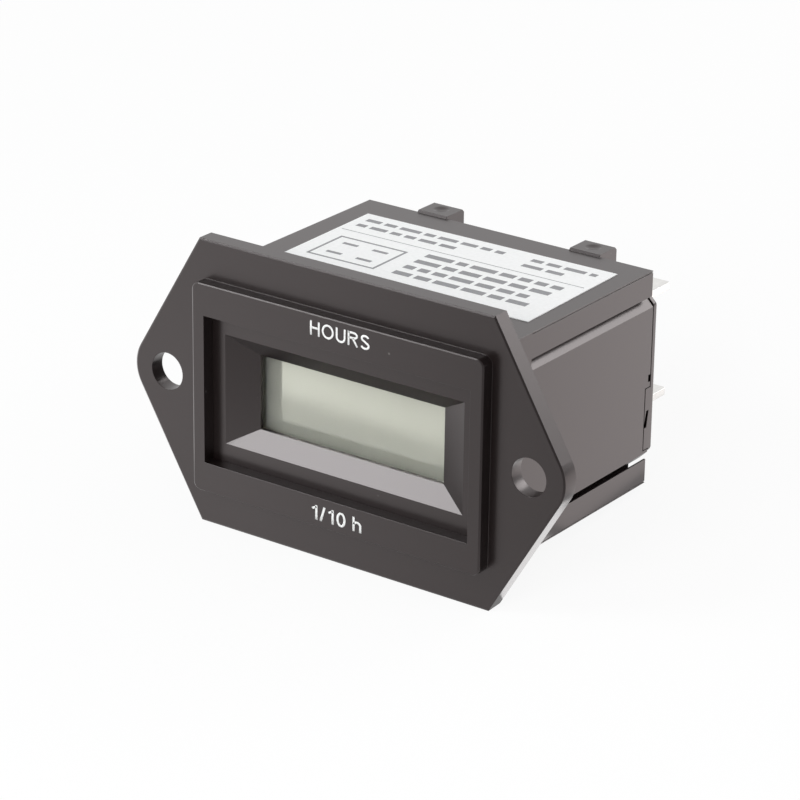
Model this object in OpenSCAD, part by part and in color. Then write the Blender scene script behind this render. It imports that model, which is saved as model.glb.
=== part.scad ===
// Panel hour meter: blank liquid crystal display in a two-hole flange, blade terminals at the rear.
// Millimetres. X to the right seen from the front, Y to the rear, Z up.
// Origin: midway between the two mounting holes, on the flange's rear face.

/* [Flange] */
// distance between the two mounting holes
hole_spacing = 45.7; // [44:0.1:48]
// mounting hole diameter
hole_d = 4.1; // [3.5:0.1:4.6]
// flange height
flange_h = 31.7; // [30.5:0.1:33]
// straight length of the flange's upper and lower edge
flange_flat = 36.8; // [36:0.1:38]
// radius of the flange's two tips
tip_r = 4.25; // [3.7:0.05:4.6]
// flange thickness
flange_t = 2.2; // [1.8:0.05:2.6]

/* [Bezel] */
// bezel height
bezel_h = 23.2; // [22.6:0.1:24]
// how far the bezel stands in front of the flange
bezel_rise = 1.5; // [1.2:0.1:2]
// bezel corner radius
bezel_r = 0.9; // [0.5:0.1:1.5]
// opening width
opening_w = 33.4; // [32.6:0.1:33.8]
// opening height
opening_h = 16.4; // [15.6:0.1:17]

/* [Body] */
// body width, for a panel cut-out 36.8 wide
body_w = 36.5; // [36.2:0.1:36.7]
// body height, for a panel cut-out 24.1 high
body_h = 24; // [23.6:0.1:24]
// length of the upper and lower arm behind the panel
arm_len = 27.2; // [25.5:0.1:30]
// module height between the arms
module_h = 18.6; // [18:0.1:18.8]

/* [Display] */
// funnel width at the front
funnel_w = 30.1; // [29:0.1:30.6]
// funnel height at the front
funnel_h = 12.2; // [11.6:0.1:12.8]
// display window width
window_w = 23.3; // [22:0.1:24]
// display window height
window_h = 8.3; // [7.6:0.1:8.8]
// funnel depth
funnel_depth = 1.55; // [1.2:0.05:1.9]

/* [Terminals] */
// blade width
blade_w = 6.35; // [4.75:0.05:6.35]
// blade thickness
blade_t = 0.8; // [0.5:0.1:0.8]
// blade length behind the rear cover
blade_len = 9.9; // [8:0.1:11]
// distance between the two columns of blades
blade_dx = 21.2; // [19:0.1:22]
// distance between the two rows of blades
blade_dz = 12.2; // [11:0.1:12.6]

/* [Label] */
// label width
label_w = 31.5; // [20:0.1:33]
// label length along the body
label_l = 17; // [10:0.1:18]

/* [Hidden] */
$fn = 64;
eps = 0.01;
bezel_w = body_w;
fit = 0.1;                    // clearance between a part and its seat
wall = 1.2;                   // moulded wall
drop = 0.1;                   // the module sits this far below the flange's centre line
front_wall = bezel_rise;      // thickness of the bezel's front
edge_front = 0.2;             // broken edges, measured on the face
edge_bezel = 0.2;             // at the bezel's two ends
edge_bezel_z = 0.1;           // above and below
edge_deep = 0.1;              // how far they reach behind the face
edge_back = 0.2;
relief_d = 6.2;               // shallow relief round each mounting hole, at the rear
relief = 0.5;
collar_len = 4.7;             // closed collar behind the flange
arm_floor = 1.2;              // arm thickness
lip_top = 9.16;               // lower edge of the upper arm's lips
lip_bottom = 9.25;            // the same for the lower arm, measured downwards
land_top = 0.96;              // flat width of the lips' edges
land_bottom = 0.2;
line_z = 0.12;                // fine parting line below each arm's outer edge
line_h = 0.1;
line_in = 0.1;
rail_w = 1.4;                 // rails that carry the module between the arms
rail_x = 16.4;
rail_end_top = 0.3;
rail_end_bottom = 1.5;
seam_gap = 0.3;               // the case's seam lies behind the arms' ends
case_end = arm_len + seam_gap;
seam_w = 0.1;                 // groove between the case and the rear cover's edge
seam_in = 0.35;
cover_t = 0.85;
cover_r = 0.3;                // rounding of the rear cover's outer edge
cover_corner = 0.5;           // rounding of its corners
cover_skirt = 1;              // wall of the rear cover's frame inside the case

// hooks at the arms' ends
hook_x = 9.8;
hook_w = 3.8;
hook_out = 3.2;               // hook length behind the arm
hook_nose = 0.9;              // overlap of the hook over the rear cover
hook_rise = 0.25;             // the hook's top stands above the arm's top
hook_soft = 0.3;              // broken upper edge
hook_lead = 0.5;              // flat end of the nose
hook_back = 0.6;              // where the lead-in slope starts, below the arm's floor
dimple_d = 2;                 // shallow dish in the hook's top, at its rim and at its floor
dimple_floor = 0.7;
dimple = 0.2;

bezel_y = -flange_t - bezel_rise;
rim_y = bezel_y + front_wall;
window_y = rim_y + funnel_depth;
lip_t = 0.5;                  // straight edge of the window behind the funnel
lcd_y = window_y + lip_t;
arm_z = body_h / 2;
floor_z = arm_z - arm_floor;
case_top = module_h / 2 - drop;
case_bottom = -module_h / 2 - drop;
slope_top = 1.3;              // slopes along the case's long edges
slope_bottom = 0.9;
slope_cover = 1.1;
nose_w = body_w - 2 * wall - 2 * fit;
nose_h = module_h;
nose_in_w = nose_w - 2 * wall;
inner_w = body_w - 2 * wall;
inner_h = module_h - 2 * wall;

// notches and catches of the seam, on each side
notch_l = 0.4;
notch_h = 0.8;
notch_z = -0.08;
catch_l = 0.95;
catch_z0 = -8.2;
catch_z1 = -1.05;
catch_upper = 2.55;           // heights of the two catches, with a slanting slit between them
catch_lower = 2.5;
slit_w = 0.42;
slit_in = 0.1;
slit_drop = 1.4;

// display stack
film_t = 0.2;
glass_t = 1.1;
holder_side = 1.55;           // width of the holder's side bars
holder_edge = 0.9;            // width of its upper and lower bars
holder_bar = 1.6;             // bars behind the reflector
glass_ledge = 1.8;            // the front glass stands past the rear glass
lcd_w = nose_in_w - 4 * fit - 2 * holder_side;
glass_h = inner_h - 4 * fit - 2 * holder_edge;
rear_glass_h = glass_h - 2 * glass_ledge;
film_side = 0.4;              // the films end inside the glass
film_edge = 0.2;
film_w = lcd_w - 2 * film_side;
film_h = rear_glass_h - 2 * film_edge;
glass_y = lcd_y + film_t;
rear_glass_y = glass_y + glass_t;
reflector_y = rear_glass_y + glass_t;
reflector_t = 0.3;
holder_t = 4.4;
board_y = lcd_y + holder_t;
board_t = 1.2;
strip_gap = 0.2;              // each side of a contact strip
strip_t = glass_ledge - 2 * strip_gap;
strip_z = (glass_h + rear_glass_h) / 4;
strip_end = 1;
strip_l = lcd_w - 2 * strip_end;
board_w = nose_in_w - 2 * fit;
board_h = inner_h - 2 * fit;
board_back = board_y + board_t;
snap = 0.5;                   // snaps behind the display board
snap_h = 6;

// parts on the display board
leg_w = 0.3;
leg_t = 0.15;
leg_out = 0.9;
leg_bend = 0.45;
chip_lift = 0.15;
controller_w = 7;
controller_t = 1.2;
controller_pitch = 0.8;
controller_x = -4;
memory_w = 4;
memory_h = 5;
memory_t = 1.3;
memory_pitch = 1.27;
memory_x = 6;
memory_z = 3.6;
crystal_d = 3;
crystal_l = 8;
crystal_x = 2.5;
crystal_z = -4.6;
crystal_wire = 0.4;
crystal_gap = 1.2;
crystal_out = 1;
small_w = 2;                  // small chip resistors and capacitors
small_h = 1.2;
small_t = 0.7;
small_x = -11.5;
small_rows = [5, 2.2, -2.2, -5];
small_places = [[-5, 6.2], [1.6, 5.5], [1.6, 2]];

// power board and the pins that link the two boards
power_in = 4.9;
power_t = 1.6;
power_y = case_end - power_in;
power_back = power_y + power_t;
power_w = inner_w - 2 * fit;
power_h = inner_h - 2 * fit;
ledge = 1;                    // ledges that carry the power board
ledge_l = 1.5;
ledge_h = 10;
tang_w = 2.2;
tang_out = 1.6;
slot_gap = 0.15;
pin = 0.64;
pin_pitch = 2.54;
pin_count = 4;
pin_x = 14.6;
pin_out = 0.8;
link_w = 2.5;
link_l = 2.5;

// parts on the power board
dropper_w = 13;
dropper_l = 10.5;
dropper_h = 5.2;
dropper_x = -8;
dropper_z = 2.7;
smoothing_d = 6.3;
smoothing_l = 11;
smoothing_x = 3.2;
smoothing_z = 3.2;
bridge_w = 6.4;
bridge_l = 2.6;
bridge_h = 4.6;
bridge_x = -9.2;
bridge_z = -2.9;
varistor_d = 7;
varistor_t = 3.2;
varistor_x = 10.2;
varistor_z = 2;
varistor_lift = 0.6;
varistor_gap = 2.4;           // wires beside the disc's middle
varistor_skew = 0.8;
wire_d = 0.6;
wire_out = 1.2;
axial_lift = 0.3;
resistor_d = 3;
resistor_l = 8;
resistor_x = 1;
resistor_z = -4;
diode_d = 1.9;
diode_l = 3.6;
diode_x = 9.6;
diode_z = -3.2;

// ends of the blades
blade_soft = 0.25;
blade_hole_d = 1.7;
blade_hole = 3.6;

// label, stuck on a little askew
label_t = 0.08;
label_x = 0.4;
label_y = 15;
label_turn = 1.15;

// a flat shape in X and Z made solid from y0 to y1
module plate(y0, y1) {
  translate([0, y1, 0]) rotate([90, 0, 0]) linear_extrude(y1 - y0) children();
}

module block(x0, x1, y0, y1, z0, z1) {
  translate([x0, y0, z0]) cube([x1 - x0, y1 - y0, z1 - z0]);
}

module rod_y(d, y0, y1) {
  translate([0, y1, 0]) rotate([90, 0, 0]) cylinder(d = d, h = y1 - y0);
}

module rounded(w, h, r) {
  square([w - 2 * r, h], center = true);
  square([w, h - 2 * r], center = true);
  for (sx = [-1, 1]) for (sz = [-1, 1])
    translate([sx * (w / 2 - r), sz * (h / 2 - r)]) circle(r);
}

// rectangle with sloping corners, upper and lower slopes given apart
module sloped(w, z0, z1, s0, s1) {
  polygon([[-w / 2, z0 + s0], [-w / 2 + s0, z0], [w / 2 - s0, z0], [w / 2, z0 + s0],
           [w / 2, z1 - s1], [w / 2 - s1, z1], [-w / 2 + s1, z1], [-w / 2, z1 - s1]]);
}

// where the flange's sloping edge meets the round tip, and the sloping edge's direction outwards
tip_c = [hole_spacing / 2, 0];
tip_q = [flange_flat / 2, flange_h / 2];
tip_d = tip_q - tip_c;
tip_a = atan2(tip_d[1], tip_d[0]) - acos(tip_r / norm(tip_d));
tip_n = [cos(tip_a), sin(tip_a)];

// flange outline drawn in by e all round
module flange_shape(e) {
  r = tip_r - e;
  z = flange_h / 2 - e;
  x = (tip_n * tip_c + r - tip_n[1] * z) / tip_n[0];
  p = tip_c + r * tip_n;
  polygon([[-x, z], [x, z], p, [p[0], -p[1]], [x, -z], [-x, -z], [-p[0], -p[1]], [-p[0], p[1]]]);
  for (s = [-1, 1]) translate([s * tip_c[0], 0]) circle(r, $fn = 160);
}

// flange with its edges broken at the front and the rear
module flange_plate() {
  hull() {
    plate(-flange_t, -flange_t + eps) flange_shape(edge_front);
    plate(-flange_t + edge_deep, -edge_back) flange_shape(0);
    plate(-eps, 0) flange_shape(edge_back);
  }
}

module bezel_block() {
  hull() {
    plate(bezel_y, bezel_y + eps)
      rounded(bezel_w - 2 * edge_bezel, bezel_h - 2 * edge_bezel_z, bezel_r - edge_bezel);
    plate(bezel_y + edge_deep, -flange_t + eps) rounded(bezel_w, bezel_h, bezel_r);
  }
}

module hook() {
  top = arm_z + hook_rise;
  y0 = case_end + cover_t + fit;
  y1 = arm_len + hook_out;
  tip = case_top - hook_nose;
  difference() {
    translate([-hook_w / 2, 0, 0]) rotate([90, 0, 90]) linear_extrude(hook_w)
      polygon([[arm_len - hook_rise, arm_z - eps], [arm_len, top], [y1 - hook_soft, top],
               [y1, top - hook_soft], [y1, floor_z - hook_back], [y0 + hook_lead, tip], [y0, tip],
               [y0, floor_z], [arm_len - eps, floor_z], [arm_len - eps, arm_z - eps]]);
    translate([0, arm_len + hook_out / 2, top - dimple])
      cylinder(d1 = dimple_floor, d2 = 2 * dimple_d - dimple_floor, h = 2 * dimple);
  }
}

// one arm above the module: floor, bevelled lips with a parting line, two hooks
module arm(lip_z, land) {
  x = body_w / 2;
  lip = x - land;
  foot = lip - (floor_z - lip_z);
  line_top = arm_z - line_z;
  difference() {
    plate(collar_len - 1, arm_len)
      polygon([[-x, arm_z], [-x, lip_z], [-lip, lip_z], [-foot, floor_z], [foot, floor_z], [lip, lip_z],
               [x, lip_z], [x, arm_z]]);
    for (s = [-1, 1]) translate([s * x, 0, 0])
      block(-line_in, line_in, collar_len, arm_len + 1, line_top - line_h, line_top);
  }
  for (s = [-1, 1]) translate([s * hook_x, 0, 0]) hook();
}

module rail(s, z0, z1, end) {
  x = s * rail_x;
  block(x - rail_w / 2, x + rail_w / 2, collar_len - eps, arm_len - end, z0, z1);
}

module flange_bezel() {
  color([0.1, 0.1, 0.1]) {
    difference() {
      union() {
        flange_plate();
        bezel_block();
        plate(-eps, collar_len) square([body_w, body_h], center = true);
      }
      plate(bezel_y - 1, rim_y + eps) translate([0, -drop]) square([opening_w, opening_h], center = true);
      plate(rim_y, collar_len + 1)
        translate([0, -drop]) square([nose_w + 2 * fit, nose_h + 2 * fit], center = true);
      for (s = [-1, 1]) translate([s * hole_spacing / 2, 0, 0]) {
        rod_y(hole_d, -flange_t - 1, 1);
        rod_y(relief_d, -relief, 1);
      }
    }
    arm(lip_top, land_top);
    rotate([0, 180, 0]) arm(lip_bottom, land_bottom);
    for (s = [-1, 1]) {
      rail(s, -floor_z - eps, case_bottom, rail_end_bottom);
      rail(s, case_top + fit / 2, floor_z + eps, rail_end_top);
    }
  }
}

// funnel from the rim down to the window
module funnel() {
  k = 0.2;
  gw = (funnel_w - window_w) / 2 * k / funnel_depth;
  gh = (funnel_h - window_h) / 2 * k / funnel_depth;
  hull() {
    plate(rim_y - k - eps, rim_y - k) square([funnel_w + 2 * gw, funnel_h + 2 * gh], center = true);
    plate(window_y, window_y + eps) square([window_w, window_h], center = true);
  }
}

// notches in the case's rear edge, on the side at +X
module seam_notches() {
  x0 = inner_w / 2 - 1;
  x1 = body_w / 2 + 1;
  block(x0, x1, case_end - notch_l, case_end + 1, notch_z - notch_h / 2, notch_z + notch_h / 2);
  block(x0, x1, case_end - catch_l, case_end + 1, catch_z0, catch_z1);
}

module module_case() {
  color([0.13, 0.13, 0.13]) {
    difference() {
      union() {
        plate(rim_y, collar_len + eps) translate([0, -drop]) square([nose_w, nose_h], center = true);
        plate(collar_len, case_end) sloped(body_w, case_bottom, case_top, slope_bottom, slope_top);
      }
      translate([0, 0, -drop]) {
        funnel();
        plate(window_y - eps, lcd_y + eps) square([window_w, window_h], center = true);
        plate(lcd_y, collar_len + wall + eps) square([nose_in_w, inner_h], center = true);
        plate(collar_len + wall, case_end + 1) square([inner_w, inner_h], center = true);
      }
      seam_notches();
      mirror([1, 0, 0]) seam_notches();
    }
    for (s = [-1, 1]) {
      x = s * (inner_w / 2 - ledge / 2 + eps / 2);
      block(x - ledge / 2 - eps / 2, x + ledge / 2 + eps / 2, power_y - ledge_l, power_y,
            -ledge_h / 2, ledge_h / 2);
      xs = s * (nose_in_w / 2 - snap / 2 + eps / 2);
      block(xs - snap / 2 - eps / 2, xs + snap / 2 + eps / 2, board_back, collar_len + wall,
            -snap_h / 2, snap_h / 2);
    }
  }
}

module at_display() {
  translate([0, 0, -drop]) children();
}

module front_polariser() {
  color([0.6, 0.62, 0.57]) at_display()
    plate(lcd_y, glass_y) square([film_w, film_h], center = true);
}

module front_glass() {
  color([0.8, 0.84, 0.82]) at_display()
    plate(glass_y, rear_glass_y) square([lcd_w, glass_h], center = true);
}

module rear_glass() {
  color([0.75, 0.8, 0.78]) at_display()
    plate(rear_glass_y, reflector_y) square([lcd_w, rear_glass_h], center = true);
}

module reflector() {
  color([0.68, 0.69, 0.62]) at_display()
    plate(reflector_y, reflector_y + reflector_t) square([film_w, film_h], center = true);
}

module contact_strip(s) {
  at_display() translate([0, 0, s * strip_z])
    plate(rear_glass_y, board_y) square([strip_l, strip_t], center = true);
}

module contact_strip_upper() {
  color([0.85, 0.5, 0.45]) contact_strip(1);
}

module contact_strip_lower() {
  color([0.85, 0.5, 0.45]) contact_strip(-1);
}

module display_holder() {
  color([0.9, 0.9, 0.88]) at_display() {
    plate(lcd_y, board_y) difference() {
      square([nose_in_w - 2 * fit, inner_h - 2 * fit], center = true);
      square([lcd_w + 2 * fit, glass_h + 2 * fit], center = true);
    }
    for (s = [-1, 1]) translate([0, 0, s * (rear_glass_h - holder_bar) / 2])
      plate(reflector_y + reflector_t, board_y)
        square([lcd_w + 2 * fit + 2 * eps, holder_bar], center = true);
  }
}

module pin_holes(size) {
  for (i = [0 : pin_count - 1]) translate([pin_x, (i - (pin_count - 1) / 2) * pin_pitch])
    square(size, center = true);
}

module display_board() {
  color([0.1, 0.35, 0.18]) at_display()
    plate(board_y, board_back) difference() {
      square([board_w, board_h], center = true);
      pin_holes(pin);
    }
}

module legs(n, pitch, x0, x1, y0, y1) {
  for (i = [0 : n - 1]) {
    z = (i - (n - 1) / 2) * pitch;
    block(x0, x1, y0, y1, z - leg_w / 2, z + leg_w / 2);
  }
}

// flat-pack chip on the display board's rear face, legs on two or four sides
module chip(x, z, w, h, t, n, pitch, four) {
  at_display() translate([x, board_back, z]) {
    block(-w / 2, w / 2, chip_lift, chip_lift + t, -h / 2, h / 2);
    for (a = four ? [0, 90, 180, 270] : [0, 180]) rotate([0, a, 0]) {
      r = a == 0 || a == 180 ? w / 2 : h / 2;
      legs(n, pitch, r - eps, r + leg_bend, t / 2, t / 2 + leg_t);
      legs(n, pitch, r + leg_bend - leg_t, r + leg_bend, 0, t / 2 + eps);
      legs(n, pitch, r + leg_bend - leg_t, r + leg_out, 0, leg_t);
    }
  }
}

module controller_chip() {
  color([0.12, 0.12, 0.13])
    chip(controller_x, 0, controller_w, controller_w, controller_t, 8, controller_pitch, true);
}

module memory_chip() {
  color([0.14, 0.14, 0.15])
    chip(memory_x, memory_z, memory_w, memory_h, memory_t, 4, memory_pitch, false);
}

module timing_crystal() {
  r = crystal_d / 2;
  color([0.78, 0.78, 0.8]) at_display() translate([crystal_x, board_back + r, crystal_z]) {
    rotate([0, 90, 0]) cylinder(d = crystal_d, h = crystal_l);
    for (s = [-1, 1]) translate([crystal_l, 0, s * crystal_gap / 2]) {
      rotate([0, 90, 0]) translate([0, 0, -eps]) cylinder(d = crystal_wire, h = crystal_out + eps);
      translate([crystal_out - crystal_wire / 2, 0, 0]) rod_y(crystal_wire, -r, crystal_wire / 2);
    }
  }
}

module chip_parts() {
  places = concat([for (z = small_rows) [small_x, z]], small_places);
  color([0.55, 0.45, 0.33]) at_display()
    for (p = places) translate([p[0], board_back, p[1]])
      block(-small_w / 2, small_w / 2, 0, small_t, -small_h / 2, small_h / 2);
}

module link_pins() {
  color([0.83, 0.7, 0.35]) at_display() plate(board_y + fit, power_back + pin_out) pin_holes(pin);
}

module link_block() {
  color([0.1, 0.1, 0.1]) at_display() plate(power_y - link_l, power_y) difference() {
    translate([pin_x, 0]) square([link_w, pin_count * pin_pitch], center = true);
    pin_holes(pin);
  }
}

module power_board() {
  color([0.12, 0.36, 0.2]) difference() {
    at_display() plate(power_y, power_back) difference() {
      square([power_w, power_h], center = true);
      pin_holes(pin);
    }
    for (sx = [-1, 1]) for (sz = [-1, 1]) translate([sx * blade_dx / 2, 0, sz * blade_dz / 2])
      block(-tang_w / 2, tang_w / 2, power_y - 1, power_back + 1, -blade_t / 2, blade_t / 2);
  }
}

// box on the power board's front face, its middle at x and z
module on_power(x, z, w, l, h) {
  block(x - w / 2, x + w / 2, power_y - l, power_y, z - h / 2, z + h / 2);
}

module dropper_capacitor() {
  color([0.75, 0.62, 0.2]) on_power(dropper_x, dropper_z, dropper_w, dropper_l, dropper_h);
}

module smoothing_capacitor() {
  color([0.15, 0.16, 0.25]) translate([smoothing_x, 0, smoothing_z])
    rod_y(smoothing_d, power_y - smoothing_l, power_y);
}

module bridge_rectifier() {
  color([0.12, 0.12, 0.12]) on_power(bridge_x, bridge_z, bridge_w, bridge_l, bridge_h);
}

module surge_varistor() {
  lift = varistor_d / 2 + varistor_lift;
  color([0.2, 0.35, 0.7]) translate([varistor_x, power_y - lift, varistor_z]) {
    rotate([0, 90, 0]) cylinder(d = varistor_d, h = varistor_t, center = true);
    for (s = [-1, 1]) translate([s * varistor_skew, 0, s * varistor_gap]) rod_y(wire_d, 0, lift);
  }
}

// part with a wire at each end, bent down to the power board
module axial(x, z, d, l) {
  y = power_y - d / 2 - axial_lift;
  translate([x, y, z]) {
    rotate([0, 90, 0]) cylinder(d = d, h = l, center = true);
    for (s = [-1, 1]) {
      rotate([0, s * 90, 0]) translate([0, 0, l / 2 - eps]) cylinder(d = wire_d, h = wire_out);
      translate([s * (l / 2 + wire_out - wire_d / 2), 0, 0]) rod_y(wire_d, -wire_d / 2, power_y - y);
    }
  }
}

module dropper_resistor() {
  color([0.55, 0.7, 0.75]) axial(resistor_x, resistor_z, resistor_d, resistor_l);
}

module clamp_diode() {
  color([0.75, 0.35, 0.25]) axial(diode_x, diode_z, diode_d, diode_l);
}

module terminal(sx, sz) {
  y1 = case_end + cover_t + blade_len;
  c = blade_soft;
  w = blade_w / 2;
  translate([sx * blade_dx / 2, 0, sz * blade_dz / 2 - blade_t / 2]) linear_extrude(blade_t) difference() {
    polygon([[-tang_w / 2, power_y - tang_out], [tang_w / 2, power_y - tang_out], [tang_w / 2, power_back],
             [w, power_back], [w, y1 - c], [w - c, y1], [-w + c, y1], [-w, y1 - c], [-w, power_back],
             [-tang_w / 2, power_back]]);
    translate([0, y1 - blade_hole]) circle(d = blade_hole_d);
  }
}

module terminal_upper_right() {
  color([0.85, 0.85, 0.84]) terminal(1, 1);
}

module terminal_lower_right() {
  color([0.85, 0.85, 0.84]) terminal(1, -1);
}

module terminal_upper_left() {
  color([0.85, 0.85, 0.84]) terminal(-1, 1);
}

module terminal_lower_left() {
  color([0.85, 0.85, 0.84]) terminal(-1, -1);
}

// catches of the rear cover in the case's notches, on the side at +X
module catches() {
  x0 = inner_w / 2 - fit;
  y0 = case_end - catch_l + fit;
  y1 = case_end + seam_w + eps;
  ys = case_end - slit_in;
  z0 = catch_z0 + fit;
  z1 = catch_z1 - fit;
  zs = z1 - catch_upper;
  zb = z0 + catch_lower;
  translate([x0, 0, 0]) rotate([90, 0, 90]) linear_extrude(body_w / 2 - x0)
    polygon([[y1, z1], [y0, z1], [y0, zs - slit_drop], [ys - slit_w, zs], [ys, zs], [y0 + slit_w, zb],
             [y0, zb], [y0, z0], [y1, z0]]);
}

// the rear cover's outline drawn in by d all round
module cover_shape(d) {
  r = cover_corner - d;
  offset(r = r, $fn = 32) offset(delta = -r)
    sloped(body_w - 2 * d, case_bottom + d, case_top - d, slope_cover, slope_cover);
}

// the rear cover's outer plate with its rear edge rounded
module cover_plate() {
  y = case_end + cover_t - cover_r;
  hull() {
    plate(case_end + seam_w, y) cover_shape(0);
    for (a = [30, 60, 90]) plate(y, y + cover_r * sin(a)) cover_shape(cover_r * (1 - cos(a)));
  }
}

module rear_cover() {
  color([0.13, 0.13, 0.13]) {
    difference() {
      union() {
        plate(case_end, case_end + seam_w + eps) cover_shape(seam_in);
        cover_plate();
      }
      for (sx = [-1, 1]) for (sz = [-1, 1]) translate([sx * blade_dx / 2, 0, sz * blade_dz / 2])
        block(-blade_w / 2 - slot_gap, blade_w / 2 + slot_gap, case_end - 1, case_end + cover_t + 1,
              -blade_t / 2 - slot_gap, blade_t / 2 + slot_gap);
    }
    at_display() plate(power_back, case_end + eps) difference() {
      square([power_w, power_h], center = true);
      square([power_w - 2 * cover_skirt, power_h - 2 * cover_skirt], center = true);
    }
    catches();
    mirror([1, 0, 0]) catches();
  }
}

module label() {
  color([0.95, 0.95, 0.95]) translate([label_x, label_y, arm_z]) rotate([0, 0, label_turn])
    block(-label_w / 2, label_w / 2, -label_l / 2, label_l / 2, 0, label_t);
}

flange_bezel();
module_case();
front_polariser();
front_glass();
rear_glass();
reflector();
contact_strip_upper();
contact_strip_lower();
display_holder();
display_board();
controller_chip();
memory_chip();
timing_crystal();
chip_parts();
link_pins();
link_block();
power_board();
dropper_capacitor();
smoothing_capacitor();
bridge_rectifier();
surge_varistor();
dropper_resistor();
clamp_diode();
terminal_upper_right();
terminal_lower_right();
terminal_upper_left();
terminal_lower_left();
rear_cover();
label();
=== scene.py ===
# %% [markdown]
# Panel hour meter
#
# This lesson dresses a small panel instrument: a six-sided flange with two screw holes, a raised
# bezel, a funnel that leads the eye to a blank liquid crystal display, a case held between two
# arms, and blade terminals at the rear. The construction comes ready made as a fixed frame. Here
# its hard edges are softened as a mould softens them, and every surface gets its own finish.

# %% Load the frame
import math
import random

import bpy
from mathutils import Matrix, Vector


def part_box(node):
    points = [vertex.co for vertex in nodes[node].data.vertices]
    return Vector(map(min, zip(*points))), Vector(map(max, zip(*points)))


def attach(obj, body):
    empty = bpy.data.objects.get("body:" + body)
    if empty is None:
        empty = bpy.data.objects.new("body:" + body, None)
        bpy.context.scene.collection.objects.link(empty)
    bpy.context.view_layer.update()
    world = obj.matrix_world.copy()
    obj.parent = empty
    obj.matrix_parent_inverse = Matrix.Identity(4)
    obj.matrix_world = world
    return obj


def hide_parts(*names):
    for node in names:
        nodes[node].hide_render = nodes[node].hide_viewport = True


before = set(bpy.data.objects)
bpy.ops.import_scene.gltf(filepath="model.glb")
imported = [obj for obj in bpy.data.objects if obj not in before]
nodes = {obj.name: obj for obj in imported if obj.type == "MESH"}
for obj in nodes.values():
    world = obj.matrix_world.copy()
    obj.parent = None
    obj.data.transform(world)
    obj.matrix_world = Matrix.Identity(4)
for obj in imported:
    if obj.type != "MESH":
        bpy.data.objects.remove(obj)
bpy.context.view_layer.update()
scene = bpy.context.scene
scene.view_settings.view_transform = "Standard"
MM = 0.001

# %% [markdown]
# The camera
#
# The picture was taken with a long lens from the right and a little above. A long lens keeps the
# edges of the body nearly parallel. The camera is placed by its direction, its distance and the
# point that it looks at, and it is rolled by less than a degree, as a camera held by hand is.

# %% Camera
PHOTO_SIDE = 800
FOCAL_PIXELS = 3531.258
AZIMUTH = math.radians(35.582)
ELEVATION = math.radians(22.317)
ROLL = math.radians(0.795)
DISTANCE = 368.837 * MM
LOOK_AT = Vector((-1.506, 10.0, -1.877)) * MM


def camera_axes(azimuth, elevation, roll):
    """The camera's own X, Y and Z directions in the frame."""
    level = math.cos(elevation)
    back = Vector((math.sin(azimuth) * level, -math.cos(azimuth) * level, math.sin(elevation)))
    right = (-back).cross(Vector((0, 0, 1))).normalized()
    up = right.cross(-back)
    across = right * math.cos(roll) + up * math.sin(roll)
    upward = up * math.cos(roll) - right * math.sin(roll)
    return across, upward, back


axes = camera_axes(AZIMUTH, ELEVATION, ROLL)
turn = Matrix(axes).transposed().to_euler()
bpy.ops.object.camera_add(location=LOOK_AT + axes[2] * DISTANCE, rotation=turn)
camera = bpy.context.object
camera.name = "camera"
camera.data.sensor_width = 36
camera.data.lens = camera.data.sensor_width * FOCAL_PIXELS / PHOTO_SIDE
camera.data.clip_start = 0.02
camera.data.clip_end = 20
scene.camera = camera
print("camera at", [round(v / MM, 1) for v in camera.location], "mm, lens", round(camera.data.lens, 1))

# %% [markdown]
# Tools for node trees
#
# Each finish is a small tree of nodes. A few helpers keep the trees short to write: they add a node
# and set its inputs by name, do arithmetic, spread a value over a range, mix two colours, start a
# node group with named sockets, and start a material whose Principled shader stays in the material.

# %% Node helpers
def add(tree, kind, inputs=None, **settings):
    """Adds a node, sets its own settings and the inputs named in the dictionary."""
    made = tree.nodes.new(kind)
    for key, value in settings.items():
        setattr(made, key, value)
    for key, value in (inputs or {}).items():
        if hasattr(value, "is_output"):
            tree.links.new(value, made.inputs[key])
        else:
            made.inputs[key].default_value = value
    return made


def new_group(name, inputs, outputs):
    """A shader node group with named sockets, and its input and output nodes."""
    tree = bpy.data.node_groups.new(name, "ShaderNodeTree")
    for label, kind, value in inputs:
        socket = tree.interface.new_socket(name=label, in_out="INPUT", socket_type=kind)
        socket.default_value = value
    for label, kind in outputs:
        tree.interface.new_socket(name=label, in_out="OUTPUT", socket_type=kind)
    return tree, tree.nodes.new("NodeGroupInput").outputs, tree.nodes.new("NodeGroupOutput")


def math_node(tree, operation, first, second):
    """One arithmetic step, as an output socket."""
    return add(tree, "ShaderNodeMath", {0: first, 1: second}, operation=operation).outputs[0]


def map_range(tree, value, low, high, to_low, to_high):
    """A value spread from one range to another, as an output socket."""
    spread = {"Value": value, "From Min": low, "From Max": high, "To Min": to_low, "To Max": to_high}
    return add(tree, "ShaderNodeMapRange", spread).outputs[0]


def noise(tree, vector, scale, detail):
    """Cloudy noise between about 0.3 and 0.7, as an output socket."""
    return add(tree, "ShaderNodeTexNoise", {"Vector": vector, "Scale": scale, "Detail": detail}).outputs[0]


def mix_color(tree, factor, first, second):
    """A mix of two colours, as an output socket."""
    made = add(tree, "ShaderNodeMix", data_type="RGBA")
    for index, value in ((0, factor), (6, first), (7, second)):
        if hasattr(value, "is_output"):
            tree.links.new(value, made.inputs[index])
        else:
            made.inputs[index].default_value = value
    return made.outputs[2]


def new_material(name):
    """A material with a Principled shader, and its tree."""
    made = bpy.data.materials.new(name)
    made.use_nodes = True
    return made, made.node_tree, made.node_tree.nodes["Principled BSDF"]


def use_group(tree, group, inputs):
    """Places a node group in a tree with its own values."""
    made = add(tree, "ShaderNodeGroup")
    made.node_tree = group
    for key, value in inputs.items():
        made.inputs[key].default_value = value
    return made.outputs


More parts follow.
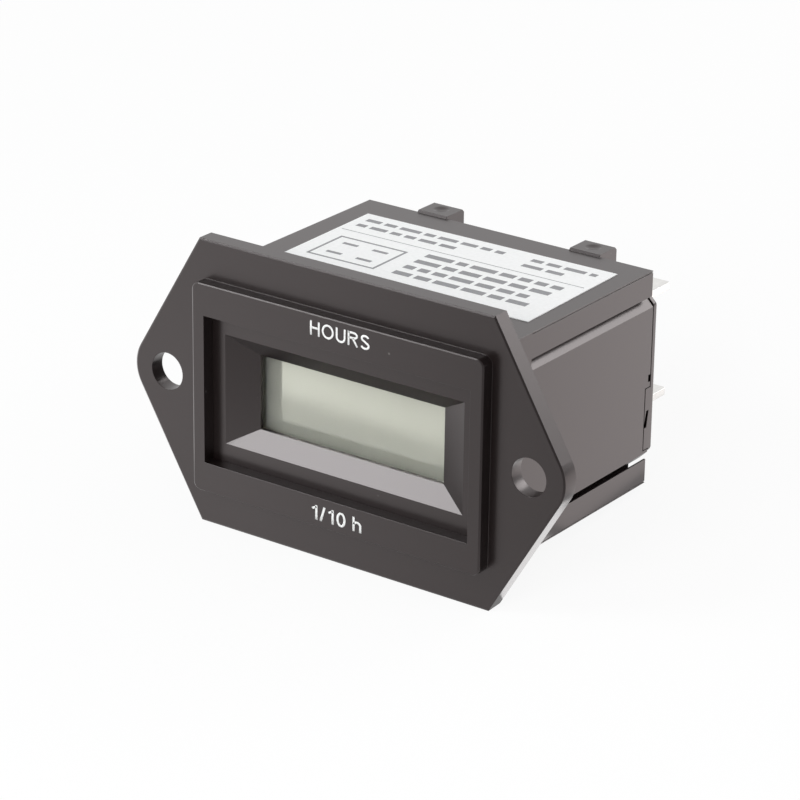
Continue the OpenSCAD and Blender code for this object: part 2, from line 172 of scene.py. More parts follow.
FLOAT = "NodeSocketFloat"
COLOR = "NodeSocketColor"

# %% [markdown]
# The moulded surface
#
# The housing and the case are satin black plastic. Its own colour is nearly black: the greys that one
# sees are the surroundings mirrored in it, a little warm. A spark-eroded mould leaves a grain of about
# a tenth of a millimetre, the tone drifts a little over a few millimetres, and light dust sits on dark
# plastic. All of that is one group, so the two mouldings share it with their own values.

# %% Group for moulded surfaces
GRAIN_SCALE = 7000
DRIFT_SCALE = 160
DUST_SCALE = 420
DUST_CHANCE = 0.86
DUST_TONE = (0.5, 0.48, 0.45, 1)


def moulded_group():
    """Colour, roughness and height of moulded plastic: grain, slow drift of tone, and specks of dust."""
    sockets = [("Base", COLOR, (0.01, 0.01, 0.01, 1)), ("Drift", FLOAT, 0.1), ("Dust", FLOAT, 0.2),
               ("Gloss", FLOAT, 0.28)]
    tree, given, out = new_group("moulded surface", sockets,
                                 [("Color", COLOR), ("Roughness", FLOAT), ("Height", FLOAT)])
    place = add(tree, "ShaderNodeTexCoord").outputs["Object"]
    grain = noise(tree, place, GRAIN_SCALE, 2)
    drift = noise(tree, place, DRIFT_SCALE, 3)
    cells = add(tree, "ShaderNodeTexVoronoi", {"Vector": place, "Scale": DUST_SCALE})
    speck = map_range(tree, cells.outputs["Distance"], 0.03, 0.07, 1, 0)
    chosen = add(tree, "ShaderNodeSeparateColor", {"Color": cells.outputs["Color"]}).outputs[0]
    rare = math_node(tree, "GREATER_THAN", chosen, DUST_CHANCE)
    dust = math_node(tree, "MULTIPLY", math_node(tree, "MULTIPLY", speck, rare), given["Dust"])
    shade = map_range(tree, drift, 0.3, 0.7, -0.5, 0.5)
    shade = math_node(tree, "ADD", math_node(tree, "MULTIPLY", shade, given["Drift"]), 1)
    toned = add(tree, "ShaderNodeVectorMath", {0: given["Base"], "Scale": shade}, operation="SCALE")
    dusty = mix_color(tree, dust, toned.outputs[0], DUST_TONE)
    rough = math_node(tree, "ADD", given["Gloss"], map_range(tree, grain, 0.3, 0.7, -0.004, 0.004))
    tree.links.new(dusty, out.inputs["Color"])
    tree.links.new(rough, out.inputs["Roughness"])
    tree.links.new(grain, out.inputs["Height"])
    return tree


MOULDED = moulded_group()
PLASTIC_BLACK = (0.009, 0.006, 0.0058)
SATIN = 0.28
GRAIN_DEPTH = 0.000001
WARM_GLOSS = (1, 0.905, 0.905, 1)


def moulded_plastic(name, dust):
    """Satin black plastic from the shared group, with more or less dust."""
    made, tree, shader = new_material(name)
    out = use_group(tree, MOULDED, {"Base": (*PLASTIC_BLACK, 1), "Gloss": SATIN, "Dust": dust})
    bump = add(tree, "ShaderNodeBump", {"Height": out["Height"], "Distance": GRAIN_DEPTH, "Strength": 0.5})
    tree.links.new(out["Color"], shader.inputs["Base Color"])
    tree.links.new(out["Roughness"], shader.inputs["Roughness"])
    tree.links.new(bump.outputs[0], shader.inputs["Normal"])
    shader.inputs["Specular IOR Level"].default_value = 1
    shader.inputs["Specular Tint"].default_value = WARM_GLOSS
    return made


housing_black = moulded_plastic("housing_black", 0.2)
case_black = moulded_plastic("case_black", 0.15)
print("plastics:", housing_black.name, case_black.name)

# %% [markdown]
# Softened mouldings
#
# No moulded edge is quite sharp: it catches a thin line of light. The frame's edges are crisp, so
# the housing, the case, the rear cover and the blades are copied, their loose triangles are merged
# into whole faces, and the sharp edges get a small round. The work is done on a copy a thousand
# times as large, because the operators' own tolerances are meant for metres and not for
# hundredths of a millimetre. Where the case meets the collar, the two are flush, and their edges stay
# sharp there so that no groove opens between them.

# %% Helpers for pieces
def only(piece):
    """Selects one object and nothing else."""
    bpy.ops.object.select_all(action="DESELECT")
    piece.select_set(True)
    bpy.context.view_layer.objects.active = piece


def dress(piece, material):
    """Gives a piece one material all over."""
    piece.data.materials.clear()
    piece.data.materials.append(material)


SEAM_BAND = 0.01
MERGE_WITHIN = 0.001
FLAT_WITHIN = math.radians(0.3)
ROUND_STEPS = 5


def leave_seam(piece, seam):
    """Takes the edges of the flush seam, at one depth, out of the selection, in edit mode."""
    bpy.ops.object.mode_set(mode="OBJECT")
    corners = piece.data.vertices
    kept = set()
    for edge in piece.data.edges:
        edge.select &= not all(abs(corners[i].co.y - seam) < SEAM_BAND for i in edge.vertices)
        if edge.select:
            kept.update(edge.vertices)
    for corner in corners:
        corner.select = corner.index in kept
    for face in piece.data.polygons:
        face.select = False
    bpy.ops.object.mode_set(mode="EDIT")


def softened(node, name, round_mm, sharp_deg, smooth_deg, seam=None):
    """A copy of a CAD node with its sharp edges rounded, standing for that node. Sizes in millimetres."""
    piece = bpy.data.objects.new(name, nodes[node].data.copy())
    scene.collection.objects.link(piece)
    piece.data.transform(Matrix.Scale(1 / MM, 4))
    only(piece)
    bpy.ops.object.mode_set(mode="EDIT")
    bpy.ops.mesh.select_mode(type="EDGE")
    bpy.ops.mesh.select_all(action="SELECT")
    bpy.ops.mesh.remove_doubles(threshold=MERGE_WITHIN)
    bpy.ops.mesh.dissolve_limited(angle_limit=FLAT_WITHIN)
    bpy.ops.mesh.customdata_custom_splitnormals_clear()
    bpy.ops.mesh.select_all(action="DESELECT")
    bpy.ops.mesh.edges_select_sharp(sharpness=math.radians(sharp_deg))
    if seam:
        leave_seam(piece, seam)
    bpy.ops.mesh.bevel(offset=round_mm, segments=ROUND_STEPS, affect="EDGES", clamp_overlap=False)
    bpy.ops.object.mode_set(mode="OBJECT")
    piece.data.transform(Matrix.Scale(MM, 4))
    bpy.ops.object.shade_smooth_by_angle(angle=math.radians(smooth_deg))
    fair = piece.modifiers.new("fair shading", "WEIGHTED_NORMAL")
    fair.keep_sharp = True
    bpy.ops.object.modifier_apply(modifier=fair.name)
    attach(piece, "root")
    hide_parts(node)
    print(name, "faces", len(piece.data.polygons))
    return piece


# %% Housing, case and rear cover
COLLAR_END = 4.7
housing = softened("flange_bezel", "housing", round_mm=0.045, sharp_deg=60, smooth_deg=25, seam=COLLAR_END)
dress(housing, housing_black)
case = softened("module_case", "case", round_mm=0.06, sharp_deg=60, smooth_deg=20, seam=COLLAR_END)
dress(case, case_black)
cover = softened("rear_cover", "cover", round_mm=0.045, sharp_deg=60, smooth_deg=20)
dress(cover, case_black)

# %% [markdown]
# Tinned blades
#
# The four blades are stamped from brass strip and tinned. The rollers leave fine streaks along the
# blade, and the tin is bright but not a mirror.

# %% Blades
STREAK_SCALE = 5000
STREAK_STRETCH = (1, 0.03, 1)
STREAK_DEPTH = 0.000004
CLOUD_SCALE = 700


def streak_group():
    """Colour, roughness and height of rolled metal: streaks along the strip over slow clouds."""
    sockets = [("Base", COLOR, (0.8, 0.8, 0.8, 1)), ("Gloss", FLOAT, 0.3)]
    tree, given, out = new_group("rolled metal", sockets,
                                 [("Color", COLOR), ("Roughness", FLOAT), ("Height", FLOAT)])
    place = add(tree, "ShaderNodeTexCoord").outputs["Object"]
    drawn = add(tree, "ShaderNodeMapping", {"Vector": place, "Scale": STREAK_STRETCH}).outputs[0]
    streak = noise(tree, drawn, STREAK_SCALE, 3)
    cloud = noise(tree, place, CLOUD_SCALE, 2)
    tone = map_range(tree, math_node(tree, "ADD", streak, cloud), 0.6, 1.4, 0.88, 1.04)
    toned = add(tree, "ShaderNodeVectorMath", {0: given["Base"], "Scale": tone}, operation="SCALE")
    rough = math_node(tree, "ADD", given["Gloss"], map_range(tree, cloud, 0.3, 0.7, -0.06, 0.06))
    tree.links.new(toned.outputs[0], out.inputs["Color"])
    tree.links.new(rough, out.inputs["Roughness"])
    tree.links.new(streak, out.inputs["Height"])
    return tree


ROLLED = streak_group()


def rolled_metal(name, base, gloss):
    """Rolled or drawn metal from the shared group."""
    made, tree, shader = new_material(name)
    out = use_group(tree, ROLLED, {"Base": (*base, 1), "Gloss": gloss})
    bump = add(tree, "ShaderNodeBump", {"Height": out["Height"], "Distance": STREAK_DEPTH, "Strength": 0.4})
    shader.inputs["Metallic"].default_value = 1
    tree.links.new(out["Color"], shader.inputs["Base Color"])
    tree.links.new(out["Roughness"], shader.inputs["Roughness"])
    tree.links.new(bump.outputs[0], shader.inputs["Normal"])
    return made


tinned = rolled_metal("tinned_blade", (0.82, 0.81, 0.79), 0.34)
for row in ("upper", "lower"):
    for column in ("right", "left"):
        place = f"{row}_{column}"
        blade = softened(f"terminal_{place}", f"blade_{place}", round_mm=0.08, sharp_deg=40, smooth_deg=20)
        dress(blade, tinned)

# %% [markdown]
# The display
#
# A reflective display is a sandwich: a matt film, two glass plates and a pale reflector behind
# them. The reflector is a foil, and so partly a mirror: seen at a slant, it shows the window's edge
# mirrored as a darker band, deep behind the film, and that band is what makes the display look sunk.
# The film and the plates are bonded, so light passes them as one block: they are modelled as one
# stepped piece of glass.

# %% Glass cell
def box_piece(name, low, high):
    """A cube primitive brought to two corners, left in edit mode with its place in its mesh."""
    bpy.ops.object.select_all(action="DESELECT")
    middle = (low + high) / 2
    bpy.ops.mesh.primitive_cube_add(size=1, location=(0, 0, 0))
    piece = bpy.context.object
    piece.name = name
    bpy.ops.object.mode_set(mode="EDIT")
    bpy.ops.mesh.select_all(action="SELECT")
    bpy.ops.transform.resize(value=high - low)
    bpy.ops.transform.translate(value=middle)
    return piece


def pick_faces(piece, test):
    """Selects the faces that pass a test on their middle and normal, in edit mode."""
    bpy.ops.mesh.select_mode(type="FACE")
    bpy.ops.mesh.select_all(action="DESELECT")
    bpy.ops.object.mode_set(mode="OBJECT")
    for face in piece.data.polygons:
        face.select = test(face.center, face.normal)
    bpy.ops.object.mode_set(mode="EDIT")


AIR = 0.02 * MM
STEP = 0.01 * MM
film_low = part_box("front_polariser")[0]
front_low, front_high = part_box("front_glass")
rear_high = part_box("rear_glass")[1]
cell = box_piece("display_cell", Vector((front_low.x, film_low.y + AIR, front_low.z)), front_high)
pick_faces(cell, lambda middle, normal: normal.y > 0.9)
ledge = (front_high.z - rear_high.z) / (front_high.z - front_low.z)
bpy.ops.mesh.extrude_region_move(TRANSFORM_OT_translate={"value": (0, STEP, 0)})
bpy.ops.transform.resize(value=(1, 1, 1 - 2 * ledge))
depth = rear_high.y - front_high.y - AIR
bpy.ops.mesh.extrude_region_move(TRANSFORM_OT_translate={"value": (0, depth, 0)})
bpy.ops.object.mode_set(mode="OBJECT")
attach(cell, "root")
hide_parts("front_polariser", "front_glass", "rear_glass")


MATT_SCALE = 9000


def cell_glass():
    """Clear bonded glass under a matt film."""
    made, tree, shader = new_material("display_glass")
    place = add(tree, "ShaderNodeTexCoord").outputs["Object"]
    matt = noise(tree, place, MATT_SCALE, 1)
    tree.links.new(map_range(tree, matt, 0.3, 0.7, 0.0, 0.06), shader.inputs["Roughness"])
    shader.inputs["Base Color"].default_value = (0.98, 0.98, 0.96, 1)
    shader.inputs["Transmission Weight"].default_value = 1
    shader.inputs["IOR"].default_value = 1.5
    return made


dress(cell, cell_glass())
print("display cell", len(cell.data.polygons), "faces")


# %% Reflector
PEARL_SCALE = 12000
FOIL_CLOUDS = 120
FOIL_DARK = (0.86, 0.875, 0.77, 1)
FOIL_LIGHT = (0.9, 0.915, 0.81, 1)
MIRROR_SHARE = 0.36


def reflector_finish():
    """Pale grey-green foil with a very fine pearl, partly a mirror."""
    made, tree, shader = new_material("display_reflector")
    place = add(tree, "ShaderNodeTexCoord").outputs["Object"]
    pearl = noise(tree, place, PEARL_SCALE, 2)
    cloud = noise(tree, place, FOIL_CLOUDS, 2)
    tone = math_node(tree, "ADD", math_node(tree, "MULTIPLY", pearl, 0.4), cloud)
    color = mix_color(tree, map_range(tree, tone, 0.5, 0.9, 0, 1), FOIL_DARK, FOIL_LIGHT)
    tree.links.new(color, shader.inputs["Base Color"])
    tree.links.new(map_range(tree, pearl, 0.3, 0.7, 0.05, 0.09), shader.inputs["Roughness"])
    shader.inputs["Metallic"].default_value = MIRROR_SHARE
    return made


dress(nodes["reflector"], reflector_finish())
print("reflector dressed, mirror share", MIRROR_SHARE)

# %% [markdown]
# Lettering on the bezel
#
# The unit above the window and the tenth of an hour below it are printed in white ink, in plain
# letters of even width. Text with a built-in font would give thin strokes and a one without its
# flag, so each letter is drawn with a flat pen along a few lines and arcs. A curve whose profile is
# tilted by a right angle is such a pen: made a mesh, it is a ribbon that lies in the bezel's face.

# %% Printed units
INK = 0.015 * MM
INK_SCALE = 4000
INK_THIN = 0.86


def ink(name, base):
    """Screen-printed ink, a little uneven."""
    made, tree, shader = new_material(name)
    place = add(tree, "ShaderNodeTexCoord").outputs["Object"]
    body = noise(tree, place, INK_SCALE, 2)
    thin = tuple(value * INK_THIN for value in base)
    color = mix_color(tree, map_range(tree, body, 0.35, 0.6, 0, 1), (*thin, 1), (*base, 1))
    tree.links.new(color, shader.inputs["Base Color"])
    tree.links.new(map_range(tree, body, 0.3, 0.7, 0.5, 0.65), shader.inputs["Roughness"])
    return made


white_ink = ink("white_ink", (0.86, 0.86, 0.85))
bezel_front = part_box("flange_bezel")[0].y
PEN = 0.15
LETTER_GAP = 0.17


def arc(x, y, wide, tall, start, end):
    """Points along part of an ellipse, by its middle, its two radii and two angles in degrees."""
    steps = max(4, round(abs(end - start) / 12))
    angles = [math.radians(start + (end - start) * i / steps) for i in range(steps + 1)]
    return [(x + wide * math.cos(angle), y + tall * math.sin(angle)) for angle in angles]


def letter_strokes(letter):
    """Width and pen strokes of one letter, in heights of a capital."""
    h = PEN / 2
    if letter == "H":
        return 0.8, [[(h, 0), (h, 1)], [(0.8 - h, 0), (0.8 - h, 1)], [(PEN, 0.53), (0.8 - PEN, 0.53)]]
    if letter == "O":
        return 0.98, [arc(0.49, 0.5, 0.49 - h, 0.51 - h, 90, 450)]
    if letter == "U":
        return 0.8, [[(h, 1), *arc(0.4, 0.36, 0.4 - h, 0.37 - h, 180, 360), (0.8 - h, 1)]]
    if letter == "R":
        bowl = [(h, 1 - h), *arc(0.48, 0.745, 0.27, 0.255 - h, 90, -90), (h, 0.49 + h)]
        return 0.86, [[(h, 0), (h, 1)], bowl, [(0.42, 0.54), (0.78, 0)]]
    if letter == "S":
        upper = arc(0.38, 0.75, 0.27, 0.255 - h, 15, 250)
        lower = arc(0.38, 0.265, 0.3, 0.275 - h, 70, -165)
        return 0.76, [[*upper, *lower]]
    if letter == "1":
        return 0.42, [[(0.34, 0), (0.34, 1)], [(0.34, 0.9), (0.06, 0.72)]]
    if letter == "/":
        return 0.34, [[(0.04, 0), (0.3, 1)]]
    if letter == "0":
        return 0.62, [arc(0.31, 0.5, 0.31 - h, 0.51 - h, 90, 450)]
    if letter == "h":
        arch = [*arc(0.3, 0.42, 0.3 - h, 0.31 - h, 165, 0), (0.6 - h, 0)]
        return 0.6, [[(h, 0), (h, 1)], arch]
    return 0.12, []


def printed_line(name, text, left, right, bottom, top):
    """One line of print on the bezel's face between the given edges, in millimetres."""
    pen = bpy.data.curves.new(name, "CURVE")
    pen.dimensions = "3D"
    pen.extrude = PEN / 2
    x = 0
    for letter in text:
        wide, strokes = letter_strokes(letter)
        for stroke in strokes:
            line = pen.splines.new("POLY")
            line.points.add(len(stroke) - 1)
            for point, (px, py) in zip(line.points, stroke):
                point.co = (x + px, py, 0, 1)
                point.tilt = math.radians(90)
        x += wide + LETTER_GAP
    length = x - LETTER_GAP
    piece = bpy.data.objects.new(name, pen)
    scene.collection.objects.link(piece)
    only(piece)
    bpy.ops.object.convert(target="MESH")
    bpy.ops.object.mode_set(mode="EDIT")
    bpy.ops.mesh.select_all(action="SELECT")
    bpy.ops.mesh.extrude_region_move(TRANSFORM_OT_translate={"value": (0, 0, 1)})
    bpy.ops.mesh.select_all(action="SELECT")
    bpy.ops.mesh.normals_make_consistent(inside=False)
    bpy.ops.object.mode_set(mode="OBJECT")
    place = Matrix.Translation((left * MM, bezel_front, bottom * MM))
    stand = Matrix.Rotation(math.radians(90), 4, "X")
    fit = Matrix.Diagonal(((right - left) * MM / length, (top - bottom) * MM, INK, 1))
    piece.data.transform(place @ stand @ fit)
    dress(piece, white_ink)
    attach(piece, "root")
    print(name, len(piece.data.polygons), "faces")


HOURS_EDGES = (-2.94, 4.51, 9.36, 10.9)
TENTHS_EDGES = (-2.68, 3.7, -10.8, -9.2)
printed_line("print_hours", "HOURS", *HOURS_EDGES)
printed_line("print_tenths", "1/10 h", *TENTHS_EDGES)

# %% [markdown]
# The label
#
# A white paper label lies on the upper arm, stuck on about a degree askew. Its print is kept
# generic: a plain diagram of the four blades, rules, and lines of grey bars in place of words. The
# bars are drawn flat on the label, all in one mesh, and then get the thickness of ink.

# %% Label paper
FIBRE_SCALE = 2500
FIBRE_DEPTH = 0.000006
PAPER_DULL = (0.9, 0.9, 0.9, 1)
PAPER_WHITE = (0.94, 0.94, 0.94, 1)


def label_paper():
    """Coated white paper with a faint fibre."""
    made, tree, shader = new_material("label_paper")
    place = add(tree, "ShaderNodeTexCoord").outputs["Object"]
    fibre = noise(tree, place, FIBRE_SCALE, 4)
    color = mix_color(tree, map_range(tree, fibre, 0.35, 0.65, 0, 1), PAPER_DULL, PAPER_WHITE)
    bump = add(tree, "ShaderNodeBump", {"Height": fibre, "Distance": FIBRE_DEPTH, "Strength": 0.3})
    tree.links.new(color, shader.inputs["Base Color"])
    tree.links.new(map_range(tree, fibre, 0.3, 0.7, 0.45, 0.6), shader.inputs["Roughness"])
    tree.links.new(bump.outputs[0], shader.inputs["Normal"])
    return made


dress(nodes["label"], label_paper())
label_low, label_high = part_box("label")
LABEL_TURN = math.radians(1.15)
grey_ink = ink("grey_ink", (0.3, 0.3, 0.31))
print("label box in mm", [round(v / MM, 1) for v in label_high - label_low])


# %% Label print
def start_print(name):
    """An empty mesh in edit mode, to be filled with flat marks."""
    bpy.ops.object.select_all(action="DESELECT")
    bpy.ops.mesh.primitive_plane_add(size=1)
    piece = bpy.context.object
    piece.name = name
    bpy.ops.object.mode_set(mode="EDIT")
    bpy.ops.mesh.select_all(action="SELECT")
    bpy.ops.mesh.delete(type="VERT")
    return piece


def mark(x, y, wide, tall):
    """One flat rectangle in millimetres, by its middle and size, in the mesh being edited."""
    bpy.ops.mesh.primitive_plane_add(size=1, location=(x, y, 0))
    bpy.ops.transform.resize(value=(wide, tall, 1), center_override=(x, y, 0))


def frame_mark(x, y, wide, tall, line):
    """The outline of a rectangle, from four marks that meet at the corners."""
    for side in (-1, 1):
        mark(x, y + side * (tall - line) / 2, wide, line)
        mark(x + side * (wide - line) / 2, y, line, tall - 2 * line)


SHORTEST_BAR = 1.1
LONGEST_BAR = 3.4
LAST_BAR = 0.8
BAR_GAP = 0.55


def words(chance, left, right, y, tall):
    """A row of bars of uneven length, like a line of words seen from afar."""
    x = left
    while x < right - LAST_BAR:
        wide = min(chance.uniform(SHORTEST_BAR, LONGEST_BAR), right - x)
        mark(x + wide / 2, y, wide, tall)
        x += wide + BAR_GAP


def finish_print(piece, material):
    """Gives the marks the thickness of ink and lays them on the label."""
    bpy.ops.mesh.select_all(action="SELECT")
    bpy.ops.mesh.extrude_region_move(TRANSFORM_OT_translate={"value": (0, 0, INK / MM)})
    bpy.ops.mesh.select_all(action="SELECT")
    bpy.ops.mesh.normals_make_consistent(inside=False)
    bpy.ops.object.mode_set(mode="OBJECT")
    middle = (label_low + label_high) / 2
    lay = Matrix.Translation((middle.x, middle.y, label_high.z)) @ Matrix.Rotation(LABEL_TURN, 4, "Z")
    piece.data.transform(lay @ Matrix.Scale(MM, 4))
    dress(piece, material)
    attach(piece, "root")
    print(piece.name, len(piece.data.polygons), "faces")


SMALL_ROWS = ((-14.6, 3.0, 6.7), (-14.6, -2.0, 4.9), (6.4, 14.4, 6.7), (6.4, 12.4, 4.9))
SMALL_BAR = 0.75
RULE = (0, 2.9, 30.4, 0.1)
LARGE_LEFT = -3.2
LARGE_ROWS = ((13.6, 1.3), (14.6, -0.7), (12.0, -2.7), (14.2, -4.7))
LARGE_BAR = 0.95
DIAGRAM = (-9.6, -2.2, 8.6, 6.4, 0.28)
BLADE_MARK = (1.9, 0.5)
BLADE_COLUMNS = (-11.5, -7.7)
BLADE_ROWS = (-0.7, -3.7)
SEED = 7

chance = random.Random(SEED)
label_print = start_print("label_print")
for left, right, y in SMALL_ROWS:
    words(chance, left, right, y, SMALL_BAR)
mark(*RULE)
for right, y in LARGE_ROWS:
    words(chance, LARGE_LEFT, right, y, LARGE_BAR)
frame_mark(*DIAGRAM)
for x in BLADE_COLUMNS:
    for y in BLADE_ROWS:
        mark(x, y, *BLADE_MARK)
finish_print(label_print, grey_ink)

# %% [markdown]
# Parts inside the case
#
# The boards and what is soldered to them are out of sight, but they are real pieces of the model, so
# each has a finish of its own: green solder mask over copper tracks, black epoxy, ceramic, sleeves
# and dipped coats. One group gives them their unevenness.

# %% Group for small parts
FINE_MOTTLE = 1500
MOTTLE_DEPTH = 0.00001


def mottle_group():
    """Colour, roughness and height of an uneven coat of two near tones."""
    sockets = [("Base", COLOR, (0.5, 0.5, 0.5, 1)), ("Second", COLOR, (0.4, 0.4, 0.4, 1)),
               ("Size", FLOAT, FINE_MOTTLE), ("Gloss", FLOAT, 0.4)]
    tree, given, out = new_group("mottle", sockets,
                                 [("Color", COLOR), ("Roughness", FLOAT), ("Height", FLOAT)])
    place = add(tree, "ShaderNodeTexCoord").outputs["Object"]
    cloud = noise(tree, place, given["Size"], 3)
    color = mix_color(tree, map_range(tree, cloud, 0.35, 0.65, 0, 1), given["Base"], given["Second"])
    rough = math_node(tree, "ADD", given["Gloss"], map_range(tree, cloud, 0.3, 0.7, -0.05, 0.05))
    tree.links.new(color, out.inputs["Color"])
    tree.links.new(rough, out.inputs["Roughness"])
    tree.links.new(cloud, out.inputs["Height"])
    return tree


MOTTLE = mottle_group()


def coated(name, base, second, gloss, size=FINE_MOTTLE):
    """Uneven paint, epoxy, ceramic or rubber from the shared group."""
    made, tree, shader = new_material(name)
    values = {"Base": (*base, 1), "Second": (*second, 1), "Gloss": gloss, "Size": size}
    out = use_group(tree, MOTTLE, values)
    bump = add(tree, "ShaderNodeBump", {"Height": out["Height"], "Distance": MOTTLE_DEPTH, "Strength": 0.4})
    tree.links.new(out["Color"], shader.inputs["Base Color"])
    tree.links.new(out["Roughness"], shader.inputs["Roughness"])
    tree.links.new(bump.outputs[0], shader.inputs["Normal"])
    return made


# %% Finishes of the inner parts
board = coated("board_green", (0.02, 0.13, 0.05), (0.04, 0.2, 0.09), 0.3, 600)
epoxy = coated("chip_epoxy", (0.03, 0.03, 0.032), (0.045, 0.045, 0.046), 0.5)
rubber = coated("contact_rubber", (0.55, 0.24, 0.2), (0.06, 0.05, 0.05), 0.6, 4000)
holder = coated("holder_white", (0.8, 0.8, 0.77), (0.84, 0.84, 0.82), 0.5)
ceramic = coated("chip_ceramic", (0.42, 0.32, 0.2), (0.5, 0.4, 0.28), 0.45)
film_box = coated("capacitor_yellow", (0.66, 0.48, 0.1), (0.74, 0.57, 0.15), 0.35)
sleeve = coated("capacitor_sleeve", (0.03, 0.04, 0.1), (0.06, 0.07, 0.14), 0.3)
dipped = coated("varistor_blue", (0.05, 0.16, 0.46), (0.09, 0.22, 0.54), 0.3)
resistor_coat = coated("resistor_coat", (0.34, 0.52, 0.56), (0.42, 0.58, 0.62), 0.4)
diode_coat = coated("diode_coat", (0.5, 0.18, 0.1), (0.62, 0.27, 0.18), 0.2)
brass = rolled_metal("pin_brass", (0.78, 0.62, 0.28), 0.3)
can = rolled_metal("crystal_can", (0.72, 0.72, 0.73), 0.28)
INNER = {"display_board": board, "power_board": board, "controller_chip": epoxy, "memory_chip": epoxy,
         "bridge_rectifier": epoxy, "link_block": epoxy, "contact_strip_upper": rubber,
         "contact_strip_lower": rubber, "display_holder": holder, "chip_parts": ceramic,
         "dropper_capacitor": film_box, "smoothing_capacitor": sleeve, "surge_varistor": dipped,
         "dropper_resistor": resistor_coat, "clamp_diode": diode_coat, "link_pins": brass,
         "timing_crystal": can}
for name, material in INNER.items():
    dress(nodes[name], material)
print("inner parts dressed:", len(INNER))

# %% [markdown]
# Floor and light
#
# The meter rests on the lower edge of its flange and on the two hooks of the lower arm, so seen from
# the meter the floor slopes up a little to the rear. Black gloss shows what stands around it, so the
# light is set up for the mirrors as much as for the surfaces. A key lamp above the front left is
# mirrored in the funnel's lower slope, and one behind on the right in the case's sloping edge. A lamp
# in front and one on the right lighten the print, the label and the display, and stay out of mirrors.
# Squares of lit table on both sides are seen in mirrors only, and give the black sides their tone.
# The background is white for the camera. Mirrors see it fall off towards the front right. Close to
# the meter, the floor takes a faint shadow, and seen through glass it has a painted shadow there.

# %% Floor
housing_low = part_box("flange_bezel")[0]
FOOT_RISE = 3.6
FOOT_REACH = 32.4
SLOPE = math.atan2(FOOT_RISE, FOOT_REACH)
FLOOR_Y = -0.002
FLOOR_SIDE = 6
SHADOW_FADES = (0.1, 0.35)
FLOOR_WHITE = (0.9, 0.9, 0.9, 1)
GLOW_CLOSE_BY = 0.9
UNLIT_FLOOR = (0.79, -0.61, 0)
FLOOR_FALL = (-0.01, 0.05, 0.66)
TO_METER = (0, 1, 0)
# where the painted shadow on the floor, seen through glass, starts and ends towards the meter, and its
# share
PAINTED_SHADOW_FALL = (-0.037, -0.031, 0.6)


def seen_by(tree, camera_share, gloss_share, glass_share):
    """A share for rays from the camera, one for rays from gloss and one for rays from glass, else 0."""
    path = add(tree, "ShaderNodeLightPath").outputs
    direct = math_node(tree, "MULTIPLY", path["Is Camera Ray"], camera_share)
    mirrored = math_node(tree, "MULTIPLY", path["Is Glossy Ray"], gloss_share)
    through = math_node(tree, "MULTIPLY", path["Is Transmission Ray"], glass_share)
    return math_node(tree, "MAXIMUM", direct, math_node(tree, "MAXIMUM", mirrored, through))


def along(tree, vector, direction, start, end, share):
    """0 up to a start along a direction, rising to the share at an end."""
    reach = add(tree, "ShaderNodeVectorMath", {0: vector, 1: direction}, operation="DOT_PRODUCT")
    return map_range(tree, reach.outputs["Value"], start, end, 0, share)


def floor_finish():
    """White with a shadow close by. Darker to the front right in mirrors, painted shadow near the meter
    behind glass.
    """
    made, tree, shader = new_material("pale_floor")
    shader.inputs["Base Color"].default_value = FLOOR_WHITE
    shader.inputs["Roughness"].default_value = 0.9
    shader.inputs["Specular IOR Level"].default_value = 0
    glow = add(tree, "ShaderNodeEmission", {"Color": (1, 1, 1, 1), "Strength": 1})
    place = add(tree, "ShaderNodeTexCoord").outputs["Object"]
    reach = add(tree, "ShaderNodeVectorMath", {0: place}, operation="LENGTH").outputs["Value"]
    share = seen_by(tree, map_range(tree, reach, *SHADOW_FADES, GLOW_CLOSE_BY, 1), 0.8, 1)
    mixed = add(tree, "ShaderNodeMixShader", {0: share, 1: shader.outputs[0], 2: glow.outputs[0]})
    unlit = along(tree, place, UNLIT_FLOOR, *FLOOR_FALL)
    dark = add(tree, "ShaderNodeEmission", {"Strength": 0})
    unlit = math_node(tree, "MULTIPLY", unlit, seen_by(tree, 0, 1, 0.2))
    # painted shadow: seen through glass, the floor darkens close to the meter, in place of the meter's
    # shadow there
    near = along(tree, place, TO_METER, *PAINTED_SHADOW_FALL)
    near = math_node(tree, "MULTIPLY", near, seen_by(tree, 0, 0, 1))
    unlit = math_node(tree, "MAXIMUM", unlit, near)
    shaded = add(tree, "ShaderNodeMixShader", {0: unlit, 1: mixed.outputs[0], 2: dark.outputs[0]})
    tree.links.new(shaded.outputs[0], tree.nodes["Material Output"].inputs["Surface"])
    return made


bpy.ops.object.select_all(action="DESELECT")
foot = (0, FLOOR_Y, housing_low.z)
bpy.ops.mesh.primitive_plane_add(size=FLOOR_SIDE, location=foot, rotation=(SLOPE, 0, 0))
floor = bpy.context.object
floor.name = "floor"
dress(floor, floor_finish())
print("floor slopes by", round(math.degrees(SLOPE), 1), "degrees")

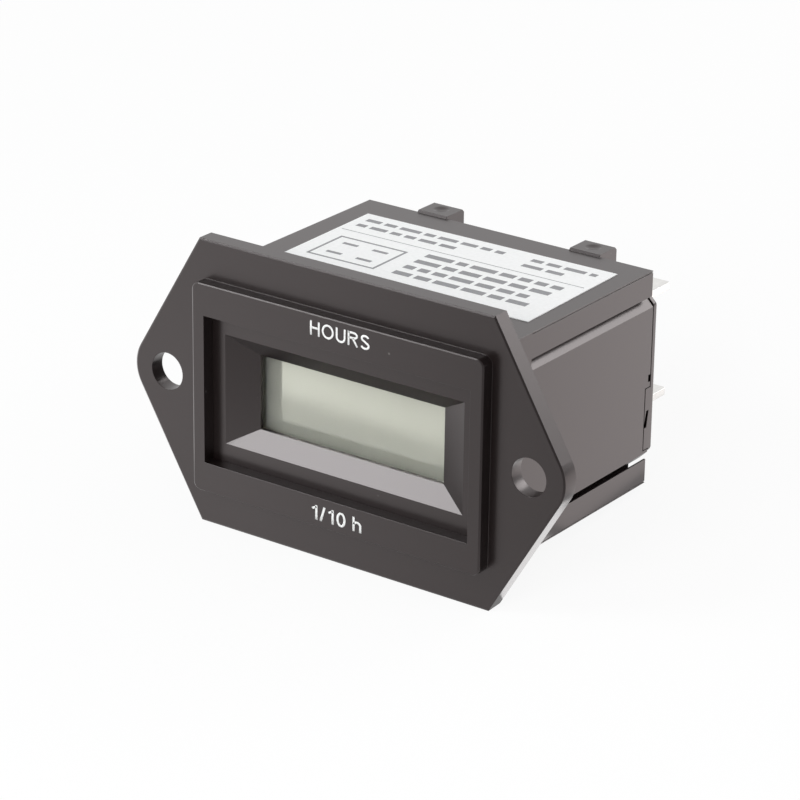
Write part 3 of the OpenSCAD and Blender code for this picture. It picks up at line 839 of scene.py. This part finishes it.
# %% World and lamps
WORLD_LIGHT = 0.35
UNLIT_SKY = (0.45, -0.7, 0.55)
SKY_FALL = (-0.1, 0.6, 0.75)
world = bpy.data.worlds.new("tent")
scene.world = world
world.use_nodes = True
sky = world.node_tree
backdrop = sky.nodes["Background"]
heading = add(sky, "ShaderNodeTexCoord").outputs["Generated"]
unlit = along(sky, heading, UNLIT_SKY, *SKY_FALL)
unlit = math_node(sky, "MULTIPLY", unlit, seen_by(sky, 0, 1, 0.3))
strength = map_range(sky, seen_by(sky, 1, 1, 0.8), 0, 1, WORLD_LIGHT, 1)
strength = math_node(sky, "MULTIPLY", strength, math_node(sky, "SUBTRACT", 1, unlit))
sky.links.new(strength, backdrop.inputs["Strength"])
backdrop.inputs["Color"].default_value = (1, 1, 1, 1)


PLAIN = (1, 1, 1)
COOL = (0.94, 0.99, 1)
WARM = (1, 0.9, 0.88)
AIM = Vector((0, 10, 0)) * MM


def soft_lamp(name, direction, distance, size, watts, tint=PLAIN, mirrored=True):
    """A square lamp at a distance from the meter's middle, turned to face it."""
    towards = Vector(direction).normalized()
    bpy.ops.object.light_add(type="AREA", location=AIM + towards * distance)
    lamp = bpy.context.object
    lamp.name = name
    lamp.data.size = size
    lamp.data.energy = watts
    lamp.data.color = tint
    lamp.visible_glossy = mirrored
    lamp.rotation_euler = towards.to_track_quat("Z", "Y").to_euler()


soft_lamp("key", (-0.54, -0.55, 0.61), distance=0.45, size=0.18, watts=0.72, tint=COOL)
soft_lamp("front", (0.1, -0.9, 0.42), distance=0.45, size=0.22, watts=1.05, mirrored=False)
soft_lamp("rear_right", (0.4, 0.75, 0.51), distance=0.5, size=0.26, watts=0.62)
soft_lamp("fill_right", (0.84, 0.2, 0.5), distance=0.5, size=0.26, watts=0.65, mirrored=False)
GLOW_LIFT = 0.0003


def table_glow(name, x, y, size, watts, tint):
    """A square of the lit table, by its middle and size, seen in mirrors only."""
    height = housing_low.z + (y - FLOOR_Y) * math.tan(SLOPE) + GLOW_LIFT
    bpy.ops.object.light_add(type="AREA", location=(x, y, height), rotation=(math.pi + SLOPE, 0, 0))
    lamp = bpy.context.object
    lamp.name = name
    lamp.data.size = size
    lamp.data.energy = watts
    lamp.data.color = tint
    lamp.visible_camera = False
    lamp.visible_diffuse = False
    lamp.visible_transmission = False


table_glow("glow_right", x=0.07, y=0.065, size=0.1, watts=0.019, tint=WARM)
table_glow("glow_left", x=-0.065, y=0.02, size=0.06, watts=0.009, tint=PLAIN)
table_glow("glow_near", x=0.023, y=0.0065, size=0.013, watts=0.0009, tint=PLAIN)
